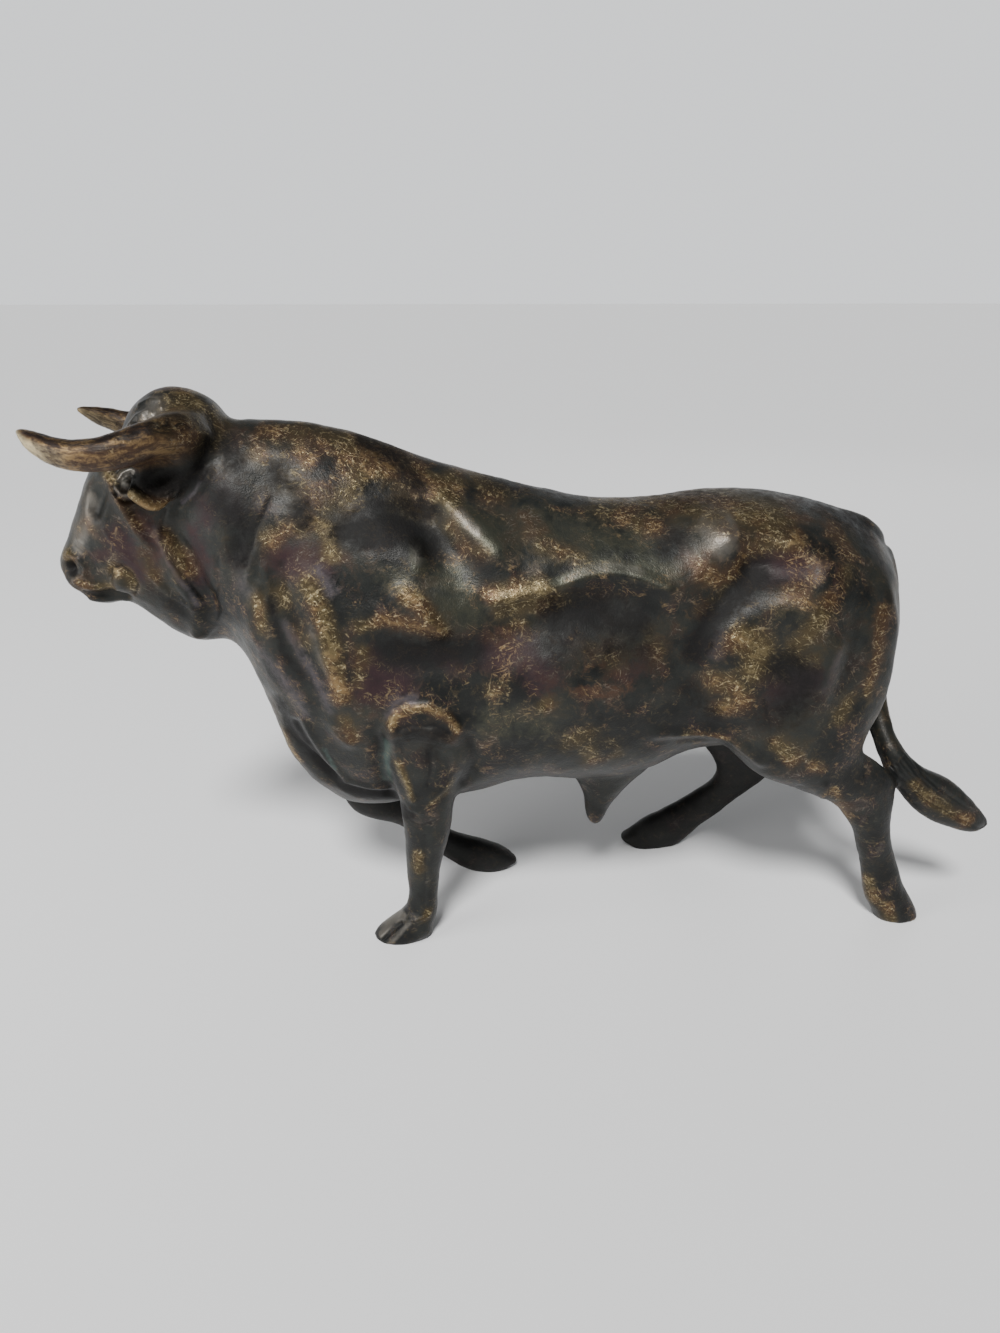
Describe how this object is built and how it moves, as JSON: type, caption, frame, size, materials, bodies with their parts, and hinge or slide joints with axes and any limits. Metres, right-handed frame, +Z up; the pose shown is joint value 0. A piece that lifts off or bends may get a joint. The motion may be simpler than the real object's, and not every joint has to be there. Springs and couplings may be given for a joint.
{
  "type": "bull sculpture",
  "caption": "Cast bronze bull, walking with its head down and its horns forward, standing on its own hooves.",
  "frame": {"origin": "under the middle of the figure's box, on the surface that the hooves stand on", "axes": "+X along the bull from its head to its tail, +Y to its right side, +Z up"},
  "size_m": [0.4184, 0.112, 0.251],
  "materials": {
    "bronze": "dark brown and green-black patina, semi-gloss, brushed back to gold on the raised forms"
  },
  "bodies": {
    "root": {"bull": "bronze"}
  },
  "joints": []
}
